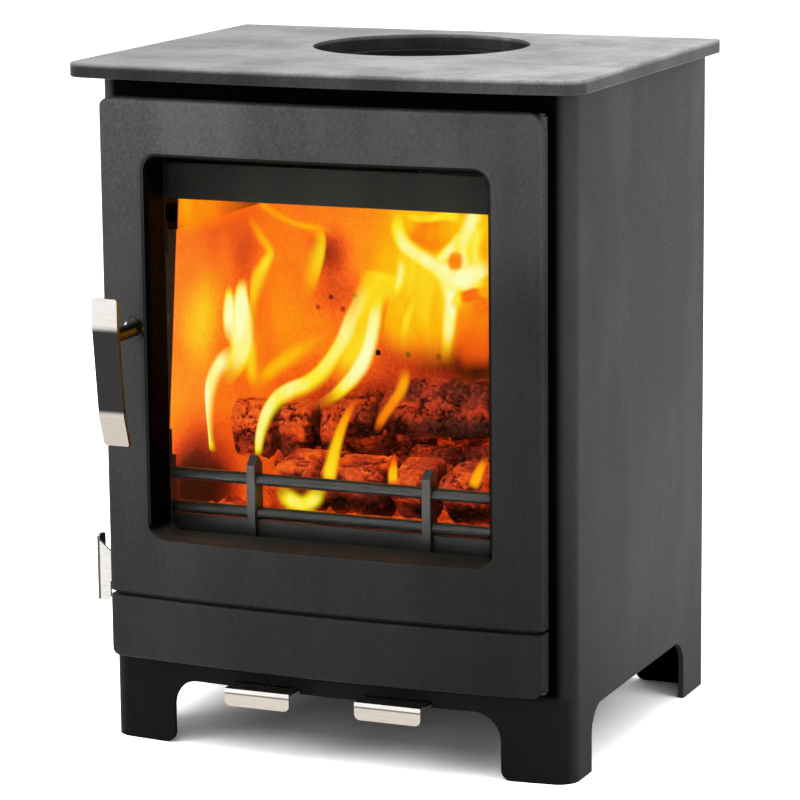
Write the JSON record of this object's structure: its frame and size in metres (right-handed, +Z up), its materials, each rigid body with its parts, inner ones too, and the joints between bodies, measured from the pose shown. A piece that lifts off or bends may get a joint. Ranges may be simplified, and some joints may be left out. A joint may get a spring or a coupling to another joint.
{
  "type": "potbelly stove",
  "caption": "Freestanding steel box wood stove with a bowed cast door, deep window, burning logs, flat overhanging top with a flue hole, legs, a riddling lever and sliding air controls.",
  "frame": {"origin": "middle of the footprint of the whole stove, on the floor that the legs stand on", "axes": "+Z up, +Y from the door to the back panel, +X to the hinge side as seen from the front"},
  "size_m": [0.464, 0.4246, 0.583],
  "materials": {
    "body_paint": "matt black heat-resistant paint",
    "top_paint": "satin black heat-resistant paint",
    "cast_paint": "matt black paint on a fine cast texture",
    "inner_steel": "sooty dark steel",
    "guard_iron": "dark heat-scaled cast iron",
    "bright_steel": "polished, lightly smudged",
    "zinc_steel": "dull plated steel",
    "fire_brick": "dry, heat-stained",
    "window_glass": "clear heat-resistant glass",
    "seal_rope": "woven graphite-black glass fibre",
    "charred_wood": "charred, cracked and glowing at the edges",
    "glowing_ember": "glowing embers"
  },
  "bodies": {
    "stove": {"body_shell": "body_paint", "back_panel": "body_paint", "top_plate": "top_paint", "firebox_roof": "inner_steel", "base_plate": "inner_steel", "rear_flue_cover": "cast_paint", "rear_cover_bolt_left": "zinc_steel", "rear_cover_bolt_right": "zinc_steel", "slide_guide_left": "inner_steel", "slide_guide_middle": "inner_steel", "slide_guide_right": "inner_steel", "firebox_shelf": "inner_steel", "grate": "guard_iron", "fire_brick_left": "fire_brick", "fire_brick_right": "fire_brick", "fire_brick_back": "fire_brick", "baffle_plate": "inner_steel", "baffle_rail_left": "inner_steel", "baffle_rail_right": "inner_steel", "airwash_deflector": "inner_steel", "log_guard_frame": "guard_iron", "log_guard_bar_upper": "guard_iron", "log_guard_bar_lower": "guard_iron", "log_guard_fin_left": "guard_iron", "log_guard_fin_right": "guard_iron", "ash_pan": "inner_steel", "ash_pan_handle": "zinc_steel", "hinge_bracket_upper": "cast_paint", "hinge_bracket_lower": "cast_paint", "hinge_pin_upper": "zinc_steel", "hinge_pin_lower": "zinc_steel", "log_front": "charred_wood", "log_left": "charred_wood", "log_right": "charred_wood", "log_back": "charred_wood", "log_under_left": "charred_wood", "log_under_right": "charred_wood", "ember_bed": "glowing_ember"},
    "door": {"door_casting": "cast_paint", "door_glass": "window_glass", "glass_gasket": "seal_rope", "door_rope_seal": "seal_rope", "glass_clip_lower_left": "inner_steel", "clip_screw_lower_left": "zinc_steel", "glass_clip_upper_left": "inner_steel", "clip_screw_upper_left": "zinc_steel", "glass_clip_lower_right": "inner_steel", "clip_screw_lower_right": "zinc_steel", "glass_clip_upper_right": "inner_steel", "clip_screw_upper_right": "zinc_steel"},
    "handle": {"handle_strip": "bright_steel", "handle_spindle": "bright_steel", "latch_cam": "zinc_steel", "spindle_nut": "zinc_steel"},
    "air_slide_left": {"air_slide_left": "bright_steel"},
    "air_slide_right": {"air_slide_right": "bright_steel"},
    "riddler": {"riddling_plate": "inner_steel", "riddling_lever": "bright_steel"}
  },
  "joints": [
    {"name": "door_hinge", "type": "hinge", "parent": "stove", "child": "door", "pos_m": [0.1922, -0.14001, 0.317], "axis": [0, 0, 1], "range_deg": [0, 110]},
    {"name": "handle_turn", "type": "hinge", "parent": "door", "child": "handle", "pos_m": [-0.1622, -0.16274, 0.363], "axis": [0, 1, 0], "range_deg": [0, 90]},
    {"name": "air_slide_left_pull", "type": "slide", "parent": "stove", "child": "air_slide_left", "axis": [0, -1, 0], "range_m": [0, 0.03]},
    {"name": "air_slide_right_pull", "type": "slide", "parent": "stove", "child": "air_slide_right", "axis": [0, -1, 0], "range_m": [0, 0.03]},
    {"name": "riddle_pull", "type": "slide", "parent": "stove", "child": "riddler", "axis": [-1, 0, 0], "range_m": [0, 0.018]}
  ]
}
